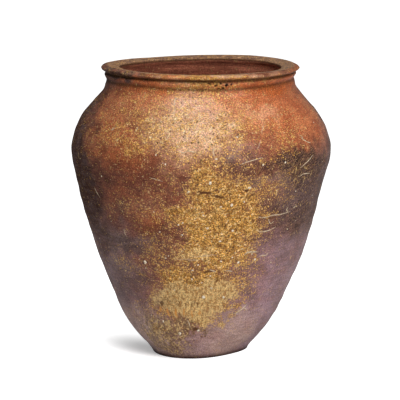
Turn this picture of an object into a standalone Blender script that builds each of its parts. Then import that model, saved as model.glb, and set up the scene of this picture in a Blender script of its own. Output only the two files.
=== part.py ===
"""Storage jar: a wide-shouldered stoneware jar, coiled by hand and fired in one piece.

Run with: blender --background --python part.py
Units are metres and +Z is up. The jar stands on the plane z = 0, with the middle
of its outline over the origin. The front of the jar faces -Y.
"""

import math

import bpy
import numpy as np
from mathutils import Vector
from mathutils.geometry import interpolate_bezier

# Driving dimensions
HEIGHT = 0.420            # foot to the highest part of the lip
BELLY_RADIUS = 0.1888     # widest part of the shoulder
BELLY_HEIGHT = 0.298      # level of the widest part
FOOT_RADIUS = 0.0705      # flat underside that the jar stands on
NECK_RADIUS = 0.1357      # bottom of the groove between shoulder and neck
WALL = 0.0120             # coiled wall, measured square to its face
FLOOR = 0.0180            # slab under the cavity
FOOT_EDGE = 0.0030        # worn rounding where the wall meets the underside

# Neck and lip: drops are below the crest, reaches are out from the groove
NECK_DROP = 0.0216        # groove between shoulder and neck
BEAD_DROP = 0.0150        # fullest part of the pressed band round the neck
BEAD_REACH = 0.0030
TUCK_DROP = 0.0106        # crease right under the lip
TUCK_REACH = 0.0012
BEVEL_DROP = 0.0092       # where the bevelled underside of the lip begins
TIP_DROP = 0.0050         # outer edge of the lip
TIP_REACH = 0.0080
TIP_EDGE = 0.0017         # half the thickness of that edge
MOUTH_DROP = 0.0058       # inner edge of the lip
MOUTH_INREACH = 0.0071    # inner edge of the lip, in from the inner wall
CREST_SHARE = 0.32        # highest line of the lip, across its breadth from the tip

# Outline between the named sizes, as shares of the rise and of the growth in radius
LOWER_WALL_SHARES = (
    (0.047, 0.090), (0.107, 0.220), (0.200, 0.366), (0.300, 0.472), (0.400, 0.586),
    (0.500, 0.682), (0.600, 0.757), (0.700, 0.836), (0.800, 0.898), (0.890, 0.950),
    (0.955, 0.988),
)
SHOULDER_SHARES = (
    (0.072, 0.990), (0.272, 0.895), (0.477, 0.702), (0.644, 0.455), (0.787, 0.223),
    (0.895, 0.066),
)

# Unevenness of the hand-built wall: shares of the height and of the belly radius
LEAN_SHARES = (
    (0.00, -0.002), (0.08, -0.003), (0.15, -0.008), (0.29, 0.004), (0.43, 0.003), (0.50, -0.002),
    (0.58, -0.001), (0.68, 0.007), (0.78, 0.006), (0.86, 0.000), (1.00, 0.002),
)
# Each wave is (lobes round the jar, share of the radius, direction of a lobe in degrees)
FOOT_WAVE_SHARES = ((1, 0.035, 180.0), (2, 0.055, 55.0), (3, 0.042, 10.0))
BELLY_WAVE_SHARES = ((2, 0.007, 45.0), (3, 0.005, 30.0))
RIM_WAVE_SHARES = ((1, 0.004, 90.0), (2, 0.008, 29.0), (3, 0.005, 60.0))
NECK_WAVE_SHARES = ((1, 0.008, 0.0), (2, 0.004, 90.0), (3, 0.007, 0.0))
# How far the neck's wave takes each height along, as (share of the height, share of the wave)
NECK_BAND_SHARES = ((0.86, 0.0), (0.93, 1.0), (0.975, 1.0), (0.99, 0.0))
FOOT_FADE_SHARE = 0.22    # height over which the foot's outline dies out

# Facets
STEPS = 72                # round the jar
LOWER_FACETS = 2          # along the wall, between two neighbouring stations
LIP_FACETS = 1
INNER_FACETS = 1

JAR_COLOUR = (0.36, 0.17, 0.08, 1.0)
JAR_ROUGHNESS = 0.55


def clear_scene():
    """Remove whatever the file holds, so that only the jar is left."""
    for old in list(bpy.data.objects):
        bpy.data.objects.remove(old, do_unlink=True)
    for old in list(bpy.data.collections):
        bpy.data.collections.remove(old)


def flowing_line(stations, facets):
    """Points of a smooth line through the stations, with so many facets between two."""
    points = [Vector((radius, 0, height)) for radius, height in stations]
    line = [points[0]]
    for i in range(len(points) - 1):
        start, end = points[i], points[i + 1]
        before = points[max(i - 1, 0)]
        after = points[min(i + 2, len(points) - 1)]
        third = (end - start).length / 3
        handle_out = start + (end - before).normalized() * third
        handle_in = end - (after - start).normalized() * third
        line += interpolate_bezier(start, handle_out, handle_in, end, facets + 1)[1:]
    return [(point.x, point.z) for point in line]


def wall_stations():
    """Outside of the wall from the foot up to the groove under the neck."""
    growth = BELLY_RADIUS - FOOT_RADIUS
    stations = [(FOOT_RADIUS + FOOT_EDGE / 2, FOOT_EDGE)]
    stations += [(FOOT_RADIUS + growth * out, BELLY_HEIGHT * up) for up, out in LOWER_WALL_SHARES]
    stations.append((BELLY_RADIUS, BELLY_HEIGHT))
    rise = HEIGHT - NECK_DROP - BELLY_HEIGHT
    fall = BELLY_RADIUS - NECK_RADIUS
    stations += [(NECK_RADIUS + fall * out, BELLY_HEIGHT + rise * up) for up, out in SHOULDER_SHARES]
    stations.append((NECK_RADIUS, HEIGHT - NECK_DROP))
    return stations


def lip_stations():
    """Neck band, crease and lip, from just above the groove over the crest to the inner wall."""
    bead = NECK_RADIUS + BEAD_REACH
    tuck = NECK_RADIUS + TUCK_REACH
    tip = NECK_RADIUS + TIP_REACH
    mouth = NECK_RADIUS - WALL - MOUTH_INREACH
    breadth = tip - mouth
    crest = tip - breadth * CREST_SHARE
    inner_fall = HEIGHT - MOUTH_DROP
    return [
        (NECK_RADIUS + BEAD_REACH * 0.55, HEIGHT - NECK_DROP * 0.55 - BEAD_DROP * 0.45),
        (bead, HEIGHT - BEAD_DROP),
        (bead - (BEAD_REACH - TUCK_REACH) * 0.15, HEIGHT - (BEAD_DROP + TUCK_DROP) / 2),
        (tuck, HEIGHT - TUCK_DROP),
        (tuck + (tip - tuck) * 0.18, HEIGHT - BEVEL_DROP),
        (tip - TIP_EDGE / 2, HEIGHT - TIP_DROP - TIP_EDGE),
        (tip, HEIGHT - TIP_DROP),
        (tip - TIP_EDGE / 2, HEIGHT - TIP_DROP + TIP_EDGE),
        (tip - (tip - crest) * 0.35, HEIGHT - TIP_DROP * 0.32),
        (crest, HEIGHT),
        (crest - (crest - mouth) * 0.48, HEIGHT - MOUTH_DROP * 0.14),
        (mouth + (crest - mouth) * 0.16, HEIGHT - MOUTH_DROP * 0.50),
        (mouth + TIP_EDGE / 3, inner_fall + TIP_EDGE),
        (mouth, inner_fall),
        (mouth + MOUTH_INREACH * 0.14, inner_fall - MOUTH_DROP * 0.42),
        (mouth + MOUTH_INREACH * 0.60, inner_fall - MOUTH_DROP * 1.05),
    ]


def inner_line():
    """Inside of the wall from the neck down, one wall thickness in from the outside."""
    outside = np.array(flowing_line(wall_stations(), INNER_FACETS))[::-1]
    along = np.gradient(outside, axis=0)
    inward = np.stack([along[:, 1], -along[:, 0]], axis=1)
    inward /= np.linalg.norm(inward, axis=1)[:, None]
    inside = outside + inward * WALL
    kept = inside[inside[:, 1] > FLOOR + WALL]
    return [(float(radius), float(height)) for radius, height in kept]


def jar_profile():
    """Half section of the jar: cavity floor, inner wall, lip, outer wall, underside."""
    inner = inner_line()
    low_radius = inner[-1][0]
    floor = [(low_radius * 0.86, FLOOR + WALL * 0.35), (low_radius * 0.60, FLOOR), (0.0, FLOOR)]
    down_outside = flowing_line(wall_stations(), LOWER_FACETS)[::-1]
    lip = flowing_line(lip_stations(), LIP_FACETS)[::-1]
    underside = [(FOOT_RADIUS, 0.0), (0.0, 0.0)]
    return floor[::-1] + inner[::-1] + lip + down_outside + underside


def turned(name, profile):
    """Mesh of the profile turned round the Z axis."""
    mesh = bpy.data.meshes.new(name)
    edges = [(i, i + 1) for i in range(len(profile) - 1)]
    mesh.from_pydata([(radius, 0, height) for radius, height in profile], edges, [])
    blank = bpy.data.objects.new(name, mesh)
    bpy.context.scene.collection.objects.link(blank)
    screw = blank.modifiers.new("turn", "SCREW")
    screw.steps = STEPS
    screw.render_steps = STEPS
    screw.use_merge_vertices = True
    screw.merge_threshold = 0.00005
    screw.use_normal_calculate = False
    evaluated = blank.evaluated_get(bpy.context.evaluated_depsgraph_get())
    shape = bpy.data.meshes.new_from_object(evaluated)
    bpy.data.objects.remove(blank, do_unlink=True)
    return shape


def wave(angle, waves):
    """Sum of the waves round the jar at each angle, as a share of the radius."""
    return sum(share * np.cos(lobes * (angle - math.radians(at))) for lobes, share, at in waves)


def shape_by_hand(mesh):
    """Give the true turned shape the lean, the lobes and the wavy neck of a hand-built jar."""
    spots = np.empty(len(mesh.vertices) * 3)
    mesh.vertices.foreach_get("co", spots)
    spots = spots.reshape(-1, 3)
    radius = np.hypot(spots[:, 0], spots[:, 1])
    angle = np.arctan2(spots[:, 1], spots[:, 0])
    up = spots[:, 2] / HEIGHT

    near_foot = np.clip(1 - up / FOOT_FADE_SHARE, 0, 1) ** 2
    lobes = near_foot * wave(angle, FOOT_WAVE_SHARES)
    lobes += np.sin(np.pi * up) * wave(angle, BELLY_WAVE_SHARES)
    radius = radius * (1 + lobes)

    heights, leans = zip(*LEAN_SHARES)
    spots[:, 0] = radius * np.cos(angle) + np.interp(up, heights, leans) * BELLY_RADIUS
    spots[:, 1] = radius * np.sin(angle)

    near_rim = np.clip((spots[:, 2] - BELLY_HEIGHT) / (HEIGHT - BELLY_HEIGHT), 0, 1) ** 2
    spots[:, 2] += near_rim * NECK_RADIUS * wave(angle, RIM_WAVE_SHARES)

    heights, holds = zip(*NECK_BAND_SHARES)
    spots[:, 2] += np.interp(up, heights, holds) * NECK_RADIUS * wave(angle, NECK_WAVE_SHARES)

    spots[:, 2] *= HEIGHT / spots[:, 2].max()
    middle = (spots[:, :2].max(axis=0) + spots[:, :2].min(axis=0)) / 2
    spots[:, :2] -= middle
    mesh.vertices.foreach_set("co", spots.ravel())
    mesh.update()


def stoneware():
    """Material of fired red stoneware."""
    material = bpy.data.materials.new("stoneware")
    material.use_nodes = True
    surface = material.node_tree.nodes["Principled BSDF"]
    surface.inputs["Base Color"].default_value = JAR_COLOUR
    surface.inputs["Roughness"].default_value = JAR_ROUGHNESS
    surface.inputs["Metallic"].default_value = 0.0
    return material


def main():
    clear_scene()
    jar_parts = bpy.data.collections.new("storage_jar")
    bpy.context.scene.collection.children.link(jar_parts)
    mesh = turned("jar_body", jar_profile())
    shape_by_hand(mesh)
    mesh.materials.clear()
    mesh.materials.append(stoneware())
    mesh.shade_smooth()
    jar_parts.objects.link(bpy.data.objects.new("jar_body", mesh))


main()
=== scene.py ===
"""Looks of the storage jar: its fired clay, ash glaze, scorch marks and grit, in a white studio."""
import math

import bpy
import bmesh
import numpy as np
from mathutils import Matrix, Vector


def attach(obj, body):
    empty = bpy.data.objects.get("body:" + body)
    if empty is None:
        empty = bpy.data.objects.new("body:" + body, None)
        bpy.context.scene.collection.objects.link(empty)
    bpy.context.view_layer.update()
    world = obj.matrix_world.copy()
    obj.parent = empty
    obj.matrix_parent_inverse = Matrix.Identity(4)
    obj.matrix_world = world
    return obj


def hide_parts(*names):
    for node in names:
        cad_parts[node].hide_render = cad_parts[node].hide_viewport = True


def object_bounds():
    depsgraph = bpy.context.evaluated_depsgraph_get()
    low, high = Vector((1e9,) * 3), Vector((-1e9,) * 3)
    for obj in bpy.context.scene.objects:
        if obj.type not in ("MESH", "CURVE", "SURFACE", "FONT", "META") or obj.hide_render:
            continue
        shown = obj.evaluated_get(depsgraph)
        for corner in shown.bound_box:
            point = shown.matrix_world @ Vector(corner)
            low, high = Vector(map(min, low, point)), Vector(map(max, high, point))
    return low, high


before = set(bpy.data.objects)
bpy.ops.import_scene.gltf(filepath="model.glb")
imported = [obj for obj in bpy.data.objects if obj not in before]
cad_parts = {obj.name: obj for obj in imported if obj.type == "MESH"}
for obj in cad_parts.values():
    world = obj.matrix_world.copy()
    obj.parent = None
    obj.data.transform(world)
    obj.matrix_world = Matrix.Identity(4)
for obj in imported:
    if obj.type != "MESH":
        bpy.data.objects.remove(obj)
CAD_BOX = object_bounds()

# Camera: a long lens a little above the rim, looking along +Y
CAMERA_PLACE = (0, -3.6, 0.798)
CAMERA_AIM = (-0.0014, 0, 0.2198)
FIELD_OF_VIEW = math.radians(9.137)

# Studio: softboxes as (name, place, size, watts), all aimed at the jar
JAR_MIDDLE = (0, 0, 0.25)
LAMPS = (
    ("overhead_softbox", (-0.18, -1, 1.95), (1.1, 1.5), 29),
    ("right_softbox", (1.55, -2.1, 0.9), (1, 1.6), 40),
)
WORLD_LIGHT = 0.15
SWEEP_SIDE = (0.55, 0.83, -1.5)  # where gloss sees the white sweep
SWEEP_FADE = (0.7, 1.6)
WHITE = (1, 1, 1)
FLOOR_SIZE = 60
FLOOR_WHITE = (0.9, 0.9, 0.9)  # as the eye sees it
FLOOR_BOUNCE = (0.72, 0.72, 0.72)  # as the light meets it
FLOOR_GLOSS = 0.16  # what gloss sees beside the lit floor
FLOOR_FILL = 0.35  # light of its own where the jar's shadow lies
SHADOW_PLACE = (-0.079, -0.008, 0)
SHADOW_TURN = math.radians(123)  # the way that it lies, back and to the left
SHADOW_STRETCH = (1.6, 0.78, 1)
SHADOW_FADE = (0.01, 0.102)  # out from there the floor turns white

# Fine grid of the skin: length of a cell along each stretch of the profile, in metres
CELLS = {"underside": 0.008, "wall": 0.003, "lip": 0.0013, "inside": 0.008}
COLUMNS_PER_FACET = 5
TOLERANCE = 0.00001  # metres within which points are one
TINY = 1e-12
FLAT = 0.9999  # upward part of the normal of a level face
MOUTH_RINGS = 6  # after the lip's crest, in which its inner edge lies
MOUTH_ROWS = 24
LIP_RINGS = (1, 2)  # before the groove and after the mouth, cut as finely as the lip
INSIDE_ROWS = 2  # half the rows over which the outside's finish ends at the mouth
TOP_ROWS = (5, 1)  # before the crest, between which the lip's finish begins
LEVEL_STEP = 0.002  # between the rings that small things are placed by
LAST_RING = 1.001  # rings from the end that a place keeps clear of
BOX_SHARE = 0.99999  # of the CAD's box that the skin fills
INSIDE_UV_SHARE = 0.4  # of its length that the inside gets in the UV map
SEEDS = {
    "turns": 10, "levels": 20, "lumps": 40, "sway": 50, "coils": 51, "crust": 60, "scattered": 5,
    "grains": 6, "slivers": 7,
}

# Hand work in the wall: (length of the features, height of the relief), in metres
LUMPS = ((0.075, 0.0005), (0.03, 0.00022), (0.011, 0.00008))
CRUST = ((0.015, 0.00022), (0.0085, 0.00022), (0.005, 0.00012))
COIL_PITCH = 0.023
COIL_RELIEF = 0.00022
COIL_SWAY = (0.16, 1.5)  # length of the waves, how far they turn a coil
COIL_FADE = (0.09, 0.6, 0.4)  # length of the waves, mean share of the relief, its swing
CALM_HEIGHT = 0.012  # up to here the relief grows from nothing at the foot
CALM_SHARE = 0.35  # of the relief that the neck, the lip and the inside have
RIPPLE_WAVES = 40
RIPPLE_SPREAD = (0.4, 1.2)  # waves to the length of a feature
NOISE_MIDDLE = 0.5

# Places and sizes in the tables of patches, grains, strings and marks are in millimetres
MM = 1000
PERCENT = 100

# Where each finish lies on the outside of the wall. A patch is (degrees round from the front
# towards the jar's right, height, half its breadth in degrees, half its height, percent)
PATCHES = {
    "ember": (
        (-45, 378, 30, 26, 42), (-5, 386, 40, 22, 75), (38, 372, 34, 36, 85),
        (62, 345, 24, 46, 100), (-44, 328, 20, 24, 55), (-58, 345, 14, 24, 50),
        (20, 405, 70, 10, 90), (-20, 405, 40, 9, 90), (85, 360, 26, 40, 60), (-22, 232, 9, 18, 30),
        (22, 356, 8, 12, 60), (24, 322, 9, 14, 50), (58, 188, 12, 10, 35), (43, 62, 9, 10, 40),
        (-165, 350, 40, 30, 50),
    ),
    # Blush: pale pink, partly the glaze's own colour and partly a painted highlight on the shoulder
    # and along the lip's crest
    "blush_and_highlight": (
        (-7, 346, 15, 45, 66), (-20, 372, 24, 24, 12), (16, 370, 18, 22, 8), (5, 320, 10, 14, 34),
        (-5, 326, 8, 10, 35), (8, 350, 9, 18, 60), (26, 368, 9, 12, 22), (0, 419, 55, 5, 80),
        (0, 403, 22, 5, 40), (38, 364, 7, 9, 30), (10, 345, 8, 10, 14), (-11, 346, 9, 10, 14),
    ),
    "mauve": (
        (62, 95, 42, 100, 100), (44, 30, 44, 45, 100), (0, 14, 45, 22, 70), (-72, 85, 32, 115, 90),
        (-48, 30, 30, 35, 50), (115, 120, 40, 120, 80), (-120, 110, 45, 110, 80),
        (175, 90, 50, 80, 60), (50, 180, 16, 30, 40),
    ),
    # Buff: pale clay, partly its own colour; at the foot's right it is painted light that lifts the
    # jar's shade there
    "buff_and_bounce_light": (
        (-44, 40, 22, 30, 75), (-62, 50, 22, 30, 70), (-30, 12, 26, 16, 80), (10, 22, 26, 18, 35),
        (30, 42, 24, 34, 80), (34, 20, 20, 24, 100), (-140, 30, 50, 30, 50), (150, 20, 50, 20, 40),
    ),
    # Smoke: partly the clay's own and partly painted shade on the jar's left side, darkest at its
    # left edge
    "smoke_and_shade": (
        (-78, 265, 22, 85, 100), (-63, 230, 13, 64, 85), (-84, 350, 20, 45, 65),
        (-72, 411, 34, 9, 100), (-82, 401, 24, 10, 100), (-98, 120, 18, 110, 80),
        (-108, 290, 26, 120, 100), (-108, 100, 24, 90, 90), (-66, 110, 16, 50, 35),
        (-62, 316, 8, 20, 45), (-66, 200, 9, 50, 40), (-44, 415, 22, 6, 35), (-60, 417, 18, 5, 35),
        (34, 417, 16, 5, 14), (-56, 403, 10, 6, 35), (-15, 203, 8, 14, 20), (-27, 183, 9, 14, 16),
        (-23, 238, 9, 14, 16), (-27, 206, 9, 14, 16), (-22, 262, 8, 8, 12), (27, 250, 6, 8, 22),
        (10, 139, 10, 7, 28), (74, 150, 10, 22, 22), (-42, 138, 10, 14, 10), (32, 172, 8, 18, 8),
        (150, 240, 26, 50, 50), (-150, 160, 30, 40, 45),
    ),
    "haze": (
        (-70, 405, 26, 10, 70), (-76, 397, 20, 8, 60), (-60, 184, 26, 22, 65),
        (-38, 176, 16, 14, 45), (-72, 120, 28, 50, 30), (46, 238, 14, 32, 50), (26, 272, 10, 8, 45),
        (-50, 125, 12, 30, 40), (40, 275, 10, 12, 35), (76, 230, 20, 50, 60), (80, 280, 14, 50, 50),
    ),
    "flush": (
        (60, 397, 60, 6, 80), (-40, 397, 30, 6, 50), (-33, 305, 14, 26, 18), (-22, 212, 12, 14, 30),
    ),
    # Scorch: charcoal on the clay; the patches round past the right edge also paint a dark edge of
    # shade there
    "scorch_and_edge_shade": (
        (53, 284, 15, 28, 100), (64, 262, 16, 40, 95), (28, 292, 15, 12, 62), (42, 298, 12, 13, 70),
        (52, 228, 16, 26, 85), (72, 222, 18, 40, 90), (84, 270, 16, 32, 80), (100, 240, 16, 40, 55),
        (22, 318, 7, 10, 20), (16, 304, 12, 12, 28), (28, 228, 14, 30, 25), (104, 350, 18, 50, 85),
        (112, 270, 24, 110, 80), (110, 90, 22, 90, 50), (48, 208, 22, 30, 35),
        (60, 170, 20, 30, 25),
    ),
    "ash": (
        (-6, 348, 30, 46, 52), (-40, 335, 24, 34, 24), (-28, 372, 34, 24, 14),
        (-46, 332, 9, 12, 25), (-34, 319, 15, 7, 35), (-54, 345, 8, 18, 20), (29, 348, 26, 40, 30),
        (48, 330, 10, 14, 25), (44, 310, 5, 10, 30), (16, 325, 12, 16, 12), (2, 392, 40, 10, 34),
        (3, 298, 14, 16, 38), (-24, 274, 24, 26, 8), (4, 266, 17, 24, 58), (12, 226, 17, 36, 84),
        (7, 190, 15, 34, 80), (24, 256, 12, 22, 40), (38, 272, 14, 14, 35), (52, 286, 12, 12, 14),
        (28, 212, 9, 16, 33), (-26, 236, 20, 16, 16), (40, 256, 10, 14, 22), (-14, 228, 9, 12, 50),
        (12, 205, 10, 18, 25), (32, 300, 8, 10, 30), (-8, 232, 8, 14, 32), (8, 283, 16, 13, 30),
        (-40, 222, 12, 14, 14), (46, 240, 8, 12, 22), (-16, 170, 18, 16, 34), (10, 168, 20, 16, 60),
        (26, 182, 12, 14, 26), (-28, 154, 16, 13, 30), (-14, 142, 8, 14, 25), (28, 158, 10, 12, 26),
        (2, 142, 26, 14, 60), (-12, 128, 18, 12, 50), (26, 128, 13, 12, 30), (-2, 112, 31, 20, 90),
        (-9, 82, 31, 20, 86), (-44, 74, 12, 14, 20), (8, 62, 14, 10, 85), (-18, 50, 24, 12, 55),
        (22, 90, 10, 12, 30), (24, 70, 8, 6, 35), (-15, 203, 8, 14, 22), (-27, 183, 9, 14, 20),
        (-23, 238, 9, 14, 22), (-27, 206, 9, 14, 22), (-22, 262, 8, 8, 18), (-36, 222, 8, 12, 14),
        (-42, 138, 10, 14, 25), (-54, 140, 8, 12, 22), (-52, 158, 9, 12, 25), (32, 160, 8, 12, 20),
        (30, 184, 7, 12, 22), (34, 252, 6, 10, 14), (-36, 45, 16, 16, 42), (-50, 378, 16, 18, 16),
        (0, 414, 44, 9, 50), (8, 404, 18, 10, 45), (60, 414, 36, 7, 30), (180, 415, 70, 7, 40),
        (-80, 415, 40, 6, 25), (120, 370, 50, 30, 34), (-130, 360, 50, 30, 34),
        (175, 330, 30, 50, 40), (150, 200, 24, 60, 30), (-165, 240, 20, 60, 30),
    ),
    "straw": (
        (-2, 110, 27, 17, 100), (-6, 84, 21, 18, 100), (7, 67, 15, 14, 90), (-34, 92, 12, 16, 30),
        (2, 172, 16, 12, 40), (3, 227, 6, 18, 36), (-4, 166, 10, 10, 25),
    ),
    "olive": (
        (-14, 94, 15, 6, 62), (-32, 92, 7, 6, 50), (-8, 52, 13, 11, 80), (-22, 60, 14, 12, 75),
        (-30, 42, 12, 18, 70), (-14, 36, 12, 10, 65), (8, 47, 9, 5, 60), (-36, 62, 10, 14, 50),
        (-34, 30, 18, 18, 45), (-12, 22, 14, 12, 40), (36, 280, 12, 12, 35), (52, 278, 12, 18, 35),
        (0, 254, 9, 3, 45), (-38, 20, 18, 14, 60), (-50, 45, 12, 20, 45),
    ),
    "pitted": (
        (10, 406, 8, 6, 100), (5, 336, 26, 32, 50), (8, 262, 20, 12, 50), (-10, 150, 26, 12, 50),
        (8, 205, 22, 40, 35), (-14, 42, 20, 16, 70),
    ),
}
# How the edges of the patches wander: length of the waves, reach in degrees, reach in metres
EDGE_WARPS = ((0.06, 3, 0.004), (0.022, 3, 0.004), (0.009, 2, 0.003))
PATCH_FADE = (0.2, 1.6)  # shares of its reach between which a patch fades

# Gloss of the outside: what gives it, and what takes a share of it away, from where to where
GLAZE_SHARES = (("ash", 1.2), ("ember", 0.5))
THICK_ASH, THICK_DULLS = (0.45, 0.95), 0.75
NECK_START, NECK_DULLS = (0.383, 0.394), 0.6
BLUSH_AND_HIGHLIGHT_DULLS, TOP_DULLS, SOOT_AND_SHADE_DULLS = 0.5, 0.8, 0.9

# Noises: stretch upright, length of the features in metres, octaves, how strong the finer ones
# are, and distortion if any
PATTERNS = {
    "fleck": (1.15, 0.0018, 1, 0.5, 0.2),
    "grain": (1, 0.0017, 1, 0.5),
    "ember_speck": (1.1, 0.0023, 1, 0.5, 0.2),
    "clump": (1.5, 0.012, 2, 0.55, 0.6),
    "tone": (1, 0.026, 3, 0.6),
    "streak": (6, 0.024, 3, 0.6),
    "brush": (9, 0.011, 3, 0.65),
    "run": (0.25, 0.0048, 3, 0.6, 0.3),
    "drip": (0.4, 0.0036, 2, 0.6, 0.4),
    "mottle": (1.6, 0.0085, 2, 0.6, 0.6),
    "trickle": (0.22, 0.0028, 2, 0.6, 0.4),
    "blotch": (2.5, 0.03, 4, 0.65, 0.4),
    "wipe": (12, 0.05, 3, 0.65),
    "stroke": (8, 0.013, 3, 0.65, 0.3),
    "string": (6, 0.011, 3, 0.65, 0.3),
    "mineral": (1, 0.004, 3, 0.6),
}
TURNS = {"stroke": math.radians(-24), "string": math.radians(26)}
PIT_SPACING = 0.0056
GRANULE_SPACING = 0.0021
GRANULE_WOBBLE = (0.0024, 0.0022)  # length of the waves, how far they reach

# Painted shade, with some dirt, in the groove, the tuck and the inner edge of the lip: reach
# towards the shoulder, reach towards the mouth, strength
CREASE_SHADE_REACHES = ((0.0026, 0.003, 0.8), (0.0034, 0.006, 1), (0.0015, 0.0015, 1))
FOOT_LINE = 0.0055  # height of the painted contact shadow on the foot's edge
NECK_LIFT = 0.0012  # how far the neck band is pressed up
NECK_LEVELS = ((0.386, 0.396), (0.411, 0.418))
GROOVE_LIFT = 0.002  # more of it at the groove on the left and the right
GROOVE_LEVELS = ((0.385, 0.396), (0.399, 0.409))
# Sines of the bearing: where the groove's lift starts and is full, where the left side turns
# into the right, and where the painted light on the inside starts and is full
GROOVE_SIDES = (0.25, 0.8)
SIDE_TURN = (-0.3, 0.2)
LIT_TURN = (0.2, 0.8)
DEEP_LEVELS = (0.39, 0.406)  # between these the inside darkens: painted shade lower down, away from the lit right

# Signals that the materials are mixed by. Each is a sum of patterns, fields of the mesh and other
# signals by their shares, and then a smooth step: start, end and, if not 0 to 1, the values there
SIGNALS = {
    "fired": ({"tone": 0.45, "streak": 0.35, "brush": 0.2}, (0.41, 0.59)),
    "wiped": ({"wipe": 1}, (0.42, 0.58)),
    "peppered": ({"fleck": 0.45, "stroke": 0.55}, (0.44, 0.6)),
    "grainy": ({"mottle": 0.35, "fleck": 0.65}, (0.4, 0.6)),
    "blotched": ({"blotch": 1}, (0.48, 0.62, 0, 0.2)),
    "thick": ({"ash": 1}, (0.45, 1)),
    "amber": ({"thick": 0.75}, ()),
    "fall": ({"fleck": 0.52, "granule": 0.08, "clump": 0.18, "strings": 0.22, "ash": 0.2}, ()),
    "flecks": ({"fall": 1, "inside": -0.15}, (0.592, 0.67)),
    # the crust's flecks are paler where the painted highlight lies
    "crust": ({"fleck": 0.4, "granule": 0.25, "mottle": 0.35, "thick": 0.06, "blush_and_highlight": 0.1}, ()),
    "ochre": ({"crust": 1}, (0.42, 0.52)),
    "gold": ({"crust": 1}, (0.52, 0.62)),
    "gold_pale": ({"crust": 1}, (0.63, 0.76)),
    # lumps and hollow: painted light and shade of the crust, lighter on its lumps, darker in the
    # hollows between
    "lumps": ({"mottle": 1}, (0.38, 0.58, 0.74, 1.1)),
    "seam": ({"clump_line": 1}, (0.004, 0.022, 0.5, 0)),
    "hollow_shade": ({"mottle": 1}, (0.48, 0.58, 1, 0)),
    "specks": ({"ember_speck": 1, "ash": 0.12}, (0.705, 0.76, 0, 0.75)),
    "smooth": ({"straw": 0.5, "clump": 0.3, "fleck": 0.2}, (0.4, 0.56, 0, 0.9)),
    "trickles": ({"trickle": 0.88, "fleck": 0.12}, (0.4, 0.55)),
    "run_edge": ({"run_line": 1}, (0.004, 0.03, 0.62, 0)),
    "stain": ({"run": 0.65, "fleck": 0.35, "olive": 0.25}, (0.62, 0.72, 0, 0.7)),
    "milk": ({"olive": 0.16, "drip": 1}, (0.64, 0.74, 0, 0.6)),
    "pit_here": ({"pitted": 1, "pit_chance": -1}, (0, 0.1)),
    "pit_shape": ({"pit_distance": 1}, (0.16, 0.34, 1, 0)),
    "pit_stain": ({"pits": 0.85}, ()),
    # mottles the painted shade in the creases
    "crease_mottle": ({"fleck": 1}, (0.3, 0.6, 1, 0.85)),
    # painted contact shadow along the foot
    "foot_contact_shade": ({"foot": 0.92}, ()),
    "clay_grain": ({"grain": 1}, (0.3, 0.7, 0.45, 1.55)),
    "ash_grain": ({"ash": 1}, (0.5, 1, 0.75, 0.95)),
    "grainy_share": ({"ash_grain": 1, "mauve": -0.2, "rim": 0.2, "straw": -0.3}, ()),
    "fleck_rough": ({"fleck": 1}, (0.35, 0.65, 0.34, 0.5)),
    "rough": ({"fleck_rough": 1, "glazed": -0.1, "smoke_and_shade": 0.25}, ()),
    "gloss": ({"glazed": 1}, (0, 1, 0.14, 0.5)),
    "coat": ({"glazed": 0.3}, ()),
    "bumps": ({"flecks": 0.5, "fleck": 0.5, "grain": 0.3, "pits": -0.9}, ()),
    "clean": ({"mineral": 1}, (0.4, 0.6)),
    "mineral_rough": ({"grain": 1}, (0.3, 0.7, 0.4, 0.6)),
}
COAT_ROUGHNESS = 0.4
SKIN_BUMP = (0.8, 0.0008)  # strength, height
MINERAL_BUMP = (0.5, 0.0004)
MINERAL_GLOSS = 0.35

# Colours of the finishes and of painted shade, as linear light
CLAY = (0.235, 0.068, 0.032)
CLAY_DEEP = (0.13, 0.038, 0.022)
CLAY_DUSTY = (0.38, 0.165, 0.13)
AMBER = (0.3, 0.105, 0.022)
OCHRE_DEEP = (0.33, 0.128, 0.02)
OCHRE = (0.52, 0.246, 0.046)
GOLD = (0.65, 0.36, 0.085)
GOLD_PALE = (0.66, 0.5, 0.29)
STRAW = (0.72, 0.48, 0.195)
STRAW_DEEP = (0.4, 0.2, 0.062)
MILKY = (0.68, 0.54, 0.37)
MILKY_DEEP = (0.42, 0.3, 0.18)
OLIVE = (0.19, 0.1, 0.045)
RUN_EDGE = (0.23, 0.105, 0.035)
PIT = (0.15, 0.06, 0.022)
SPECK = (0.15, 0.055, 0.015)
# painted shade, with some dirt, in the creases
CREASE_DIRT_AND_SHADE = (0.052, 0.022, 0.009)
# painted contact shadow under the foot
FOOT_CONTACT_SHADE = (0.035, 0.015, 0.009)
# near black: painted shade inside small holes
HOLE = (0.012, 0.006, 0.004)
FELDSPAR = (0.82, 0.72, 0.58)
FELDSPAR_STAINED = (0.6, 0.47, 0.3)
RUBBED = (0.6, 0.47, 0.33)
SOOT = (0.115, 0.046, 0.021)
HONEY = (0.62, 0.26, 0.05)

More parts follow.
